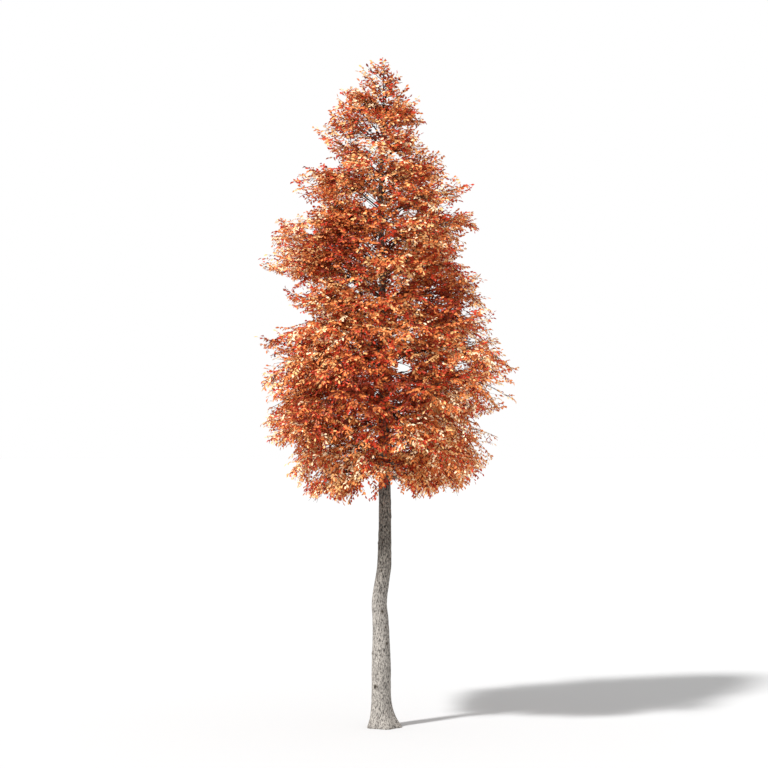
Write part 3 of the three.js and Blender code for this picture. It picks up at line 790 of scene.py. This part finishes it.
def tapered(radii, lines):
    """Radii that fall evenly from the first to the second along each line, as (lines, marks, 1)."""
    falling = between(radii, np.linspace(0, 1, lines.shape[1]))
    return np.broadcast_to(falling[:, None], (*lines.shape[:2], 1))


foliage_nodes = [f"foliage_{index + 1:02d}" for index in range(LIMB_COUNT + 1)]
twig_lines, shoot_lines = twigs[:, ::TWIG_STEP], shoots[:, ::SHOOT_STEP]
stem_lines, stem_girths = stems[:, ::STEM_STEP], stem_radii[:, ::STEM_STEP, None]
stem_corners, stem_triangles = tubes(stem_lines, stem_girths, STEM_SIDES)
twig_corners, twig_triangles = tubes(twig_lines, tapered(TWIG_RADII, twig_lines), TWIG_SIDES)
corners = np.concatenate([stem_corners, twig_corners])
triangles = np.concatenate([stem_triangles, twig_triangles + len(stem_corners)])
add_piece("twigs", corners, triangles, SHOOT_BARK, foliage_nodes, True)
corners, triangles = tubes(shoot_lines, tapered(SHOOT_RADII, shoot_lines), SHOOT_SIDES)
add_piece("shoots", corners, triangles, SHOOT_BARK, foliage_nodes, True)

# %% [markdown]
# ## Where the leaves sit
# Leaves stand along every shoot and along the outer ends of twigs and stems, left and right in turn, tilt
# up towards the light and hang a little at the tip. On the outermost sprays they stand further apart. A
# particle system would scatter them, but the exported model would lose it, so each leaf's place, midrib
# and face are worked out as arrays.

# %% Leaf places
LEAF_LENGTH = 0.06
LEAF_SIZES = (0.85, 1.15)
LEAF_SPACING = 0.033
OUTER_FROM, OUTER_SPACING = 0.8, 1.35
FEWEST_LEAVES, MOST_LEAVES = 4, 22
BARE_BASE = 0.12
LEAFY_TWIG_FROM, LEAFY_STEM_FROM = 2, 11
LEAF_AHEAD, LEAF_ASIDE, LEAF_HANG, LEAF_STRAY = 0.6, 0.75, 0.2, 0.38
FACE_UP, FACE_OUT, FACE_STRAY = 0.45, 0.5, 0.55
GAP_DRAWS = (0.3, 1.0)
SPRAY_SEED, LEAF_SEED = 31.7, 1.733

even_marks = np.linspace(0, 1, LINE_MARKS)
twig_ends = along(twigs[:, LEAFY_TWIG_FROM:], np.arange(len(twigs))[:, None], even_marks)[0]
stem_ends = along(stems[:, LEAFY_STEM_FROM:], np.arange(len(stems))[:, None], even_marks)[0]
leafy = np.concatenate([shoots, twig_ends, stem_ends])
middle = leafy[:, LINE_MARKS // 2]
bearing = np.arctan2(middle[:, 1], middle[:, 0])
outer_share = np.hypot(middle[:, 0], middle[:, 1]) / crown_reach(middle[:, 2], bearing)
outermost = np.clip((outer_share - OUTER_FROM) / (1 - OUTER_FROM), 0, 1)
spacing = LEAF_SPACING * between((1, OUTER_SPACING), outermost)
leaf_count = np.clip(np.round(line_length(leafy) / spacing), FEWEST_LEAVES, MOST_LEAVES)

spray, order = np.nonzero(np.arange(MOST_LEAVES) < leaf_count[:, None])
leaf_base, ahead = along(leafy, spray, BARE_BASE + (1 - BARE_BASE) * (order + 1) / leaf_count[spray])
seed = SPRAY_SEED * spray + LEAF_SEED * order
stray = np.stack([spread(seed + 0.1), spread(seed + 0.2), spread(seed + 0.3)], axis=-1)
wobble = np.stack([spread(seed + 0.4), spread(seed + 0.5), spread(seed + 0.6)], axis=-1)
hand = np.where(order % 2 == 0, 1.0, -1.0)[:, None]
last = (order + 1 == leaf_count[spray])[:, None]
side = sideways(ahead, order) * hand
midrib = np.where(last, ahead, LEAF_AHEAD * ahead + LEAF_ASIDE * side)
midrib = unit(midrib - LEAF_HANG * UP + LEAF_STRAY * stray)
outward = unit(leaf_base * [1, 1, 0])
face = FACE_UP * UP + FACE_OUT * outward + FACE_STRAY * wobble
face = unit(face - midrib * (face * midrib).sum(axis=-1, keepdims=True))
across = np.cross(face, midrib)
leaf_size = LEAF_LENGTH * between(LEAF_SIZES, chance(seed + 0.9))
tip = leaf_base + midrib * leaf_size[:, None]
kept = in_crown(tip, LEADING_MARGINS[0], between(GAP_DRAWS, chance(seed + 0.85)))
print("leaves:", int(kept.sum()), "of", len(kept), "places on", len(leafy), "sprays")

# %% [markdown]
# ## The leaf
# An alder leaf is broad, widest past its middle, folded a little along the midrib and bent down at the
# tip. It could be a card with a cut-out picture. An outline of six corners fanned from the stalk is
# opaque, has no texture, and still shows the shape at the few pixels that a leaf takes up.

# %% Leaf shape
LEAF_OUTLINE = np.array([  # along the midrib, across it, as shares of the length, once round
    [0, 0], [0.4, 0.23], [0.74, 0.21], [1, 0], [0.74, -0.21], [0.4, -0.23],
])
FOLD = 0.35
TIP_BEND = 0.16

leaf_height = FOLD * np.abs(LEAF_OUTLINE[:, 1]) - TIP_BEND * LEAF_OUTLINE[:, 0] ** 2
leaf_shape = np.column_stack([LEAF_OUTLINE, leaf_height])
leaf_fan = np.array([[0, 2, 1], [0, 3, 2], [0, 4, 3], [0, 5, 4]])


def leaf_mesh(chosen):
    """The one leaf shape set at each place: along the midrib, across the blade and out of its face."""
    size = leaf_size[chosen][:, None, None]
    leaf_axes = np.stack([midrib[chosen], across[chosen], face[chosen]], axis=1)
    corners = leaf_base[chosen][:, None] + size * (leaf_shape @ leaf_axes)
    triangles = leaf_fan + len(leaf_shape) * np.arange(len(chosen))[:, None, None]
    return corners.reshape(-1, 3), triangles.reshape(-1, 3)


print("one leaf has", len(leaf_fan), "triangles")

# %% [markdown]
# ## Autumn tints
# The leaves turn from orange and amber to red and russet, and a spray mostly turns together. Each spray gets
# one of six tints by chance, and some of its leaves take another. Sprays on the outside of the crown and on
# the right get paler tints, which is painted light, and sprays in the shade inside get darker ones, which is
# painted shade, darkest in a few deep hollows where the leaves are also redder. Tints are paler low down,
# painted light under the upper crown, and at the top, where the leaves are paler of their own. Patches of the
# crown turn together. A tint is a plain colour on its own piece, so nothing depends on where a pattern falls.

# %% Tints
TINTS = [  # slot, colour, share of the sprays, from dark to pale
    ("leaf_maroon", "#74250f", 0.13),
    ("leaf_red", "#b0341a", 0.24),
    ("leaf_russet", "#b05a2b", 0.17),
    ("leaf_orange", "#d57e43", 0.23),
    ("leaf_amber", "#e1ac70", 0.18),
    ("leaf_straw", "#efd3ae", 0.05),
]
STRAY_TINTS = 0.32
# painted light and shade: outer sprays get paler tints and inner ones darker
PALER_OUTSIDE, USUAL_DEPTH, INNERMOST = 0.32, 0.66, 0.2
TINT_SEED = 7.13
# painted light: the right side, which the sun from the front left leaves in shade, gets paler tints
PALER_RIGHT = 0.03  # a metre
# paler by height: painted light low down, under the upper crown, and pale leaves of their own at the top
PALE_HEIGHTS, PALER_THERE = (3.4, 4.6, 6.0, 7.5, 9.3), (0.09, 0.065, 0.03, 0.05, 0.12)
PATCHES = (11, 0.36, 41.3)  # number round the crown, height in metres, seed of the noise
PATCH_SHIFT = 0.14
# painted shade: sprays in a few deep hollows of the crown move to darker, redder tints
DARKER_SHADED = 0.45
SHADED = np.array([  # right, height, radius of the deep hollows with painted shade and redder leaves
    [-0.38, 5.05, 0.5], [0.25, 5.05, 0.3], [-0.6, 7.15, 0.35], [0.85, 6.22, 0.36], [0, 4.6, 0.3],
])

tint_ends = np.cumsum([share for slot, colour, share in TINTS])
# the shift paints light and shade into the tints: paler outside, on the right and by height, darker inside
# and in the deep hollows; the patches are the leaves' own
shift = PALER_OUTSIDE * (np.clip(outer_share, INNERMOST, 1) - USUAL_DEPTH)
shift = shift + PALER_RIGHT * middle[:, 0] + np.interp(middle[:, 2], PALE_HEIGHTS, PALER_THERE)
shift = shift + PATCH_SHIFT * grain(bearing, middle[:, 2], *PATCHES)
away = np.hypot(middle[:, 0:1] - SHADED[:, 0], middle[:, 2:3] - SHADED[:, 1]) / SHADED[:, 2]
shift = shift - DARKER_SHADED * np.exp(-(away**2)).max(axis=1)
spray_draw = chance(TINT_SEED * spray + 0.37)
draw = np.where(chance(seed + 0.66) < STRAY_TINTS, chance(seed + 0.77), spray_draw)
leaf_tint = np.searchsorted(tint_ends / tint_ends[-1], np.clip(draw + shift[spray], 0, 1))
print("share of each tint:", np.round(np.bincount(leaf_tint[kept]) / kept.sum(), 2))

# %% [markdown]
# ## Leaf pieces
# A dry autumn leaf is thin and satin, and light from behind shines through it. A translucent shader would
# be the usual way, but the exported model can't carry it, so a faint glow of the leaf's own colour stands
# in for it.

# %% Leaf pieces
SHINE_THROUGH = 0.12
LEAF_ROUGHNESS, LEAF_SPECULAR = 0.5, 0.22


def leaf_finish(name, code):
    """A dry autumn leaf: satin, in one plain colour, with a faint glow of the same colour."""
    finish, tree = empty_material(name)
    settings = {"Base Color": linear(code), "Roughness": LEAF_ROUGHNESS, "Specular IOR Level": LEAF_SPECULAR,
                "Emission Color": linear(code), "Emission Strength": SHINE_THROUGH}
    surface = node(tree, "ShaderNodeBsdfPrincipled", settings)
    node(tree, "ShaderNodeOutputMaterial", Surface=surface.outputs["BSDF"])
    return finish


for index, (slot, colour, share) in enumerate(TINTS):
    corners, triangles = leaf_mesh(np.nonzero(kept & (leaf_tint == index))[0])
    finish = leaf_finish("alder leaf, " + slot.replace("leaf_", ""), colour)
    add_piece(slot.replace("leaf", "leaves"), corners, triangles, finish, foliage_nodes, False)

# %% [markdown]
# ## Light and floor
# Soft sunlight falls from the front left at about the height of an autumn noon, and the pale floor throws
# some of it back up. Large area lights would do too. A single sun with a wide disc and an even sky give
# the same soft shadow with little noise. The floor looks a little darker than it shines, so that the
# shadow shows.

# %% Stage
SUN_HEADING, SUN_HEIGHT = np.radians(47), np.radians(48)
SUN_STRENGTH = 4.85
SUN_DISC = np.radians(5)
SKY_STRENGTH, SKY_SEEN = 0.9, 1.0
FLOOR_HALF = 120.0
FLOOR_BOUNCE, FLOOR_SEEN = 0.6, 0.5

floor_mesh = bpy.data.meshes.new("floor")
floor_corners = FLOOR_HALF * np.array([[-1, -1, 0], [1, -1, 0], [1, 1, 0], [-1, 1, 0]])
floor_mesh.from_pydata(floor_corners.tolist(), [], [[0, 1, 2, 3]])
floor = bpy.data.objects.new("floor", floor_mesh)
bpy.context.scene.collection.objects.link(floor)
floor_paint, tree = empty_material("matt floor paint")
seen = node(tree, "ShaderNodeLightPath").outputs["Is Camera Ray"]
paint = node(tree, "ShaderNodeMapRange", {"To Min": FLOOR_BOUNCE, "To Max": FLOOR_SEEN}, Value=seen)
matt = node(tree, "ShaderNodeBsdfDiffuse", Color=paint.outputs["Result"])
node(tree, "ShaderNodeOutputMaterial", Surface=matt.outputs["BSDF"])
floor_mesh.materials.append(floor_paint)

sun_data = bpy.data.lights.new("sun", "SUN")
sun_data.energy = SUN_STRENGTH
sun_data.angle = SUN_DISC
sun = bpy.data.objects.new("sun", sun_data)
level_part = np.cos(SUN_HEIGHT)
ray = Vector((level_part * np.sin(SUN_HEADING), level_part * np.cos(SUN_HEADING), -np.sin(SUN_HEIGHT)))
sun.rotation_euler = ray.to_track_quat("-Z", "Y").to_euler()
bpy.context.scene.collection.objects.link(sun)

sky = bpy.data.worlds.new("sky")
sky.use_nodes = True
sky.node_tree.nodes.clear()
seen = node(sky.node_tree, "ShaderNodeLightPath").outputs["Is Camera Ray"]
strengths = {"To Min": SKY_STRENGTH, "To Max": SKY_SEEN}
strength = node(sky.node_tree, "ShaderNodeMapRange", strengths, Value=seen).outputs["Result"]
glow = node(sky.node_tree, "ShaderNodeBackground", {"Color": (1, 1, 1, 1)}, Strength=strength)
node(sky.node_tree, "ShaderNodeOutputWorld", Surface=glow.outputs["Background"])
bpy.context.scene.world = sky
bpy.context.scene.view_settings.view_transform = "Standard"
print("sun", SUN_STRENGTH, "sky", SKY_STRENGTH, "floor", FLOOR_SEEN)

# %% [markdown]
# ## Camera
# The tree is seen from far away and from about half its height, so that its top and foot are hardly
# tilted. A long lens from thirty-four metres gives that view.

# %% Camera
LENS = 106.7
SENSOR = 36.0
FARTHEST_SEEN = 1000.0

camera_data = bpy.data.cameras.new("camera")
camera_data.lens = LENS
camera_data.sensor_width = SENSOR
camera_data.clip_end = FARTHEST_SEEN
camera = bpy.data.objects.new("camera", camera_data)
camera.location = (0, -EYE_DISTANCE, EYE_HEIGHT)
camera.rotation_euler = (np.pi / 2, 0, 0)
bpy.context.scene.collection.objects.link(camera)
bpy.context.scene.camera = camera
print("camera", EYE_DISTANCE, "m away at", EYE_HEIGHT, "m")
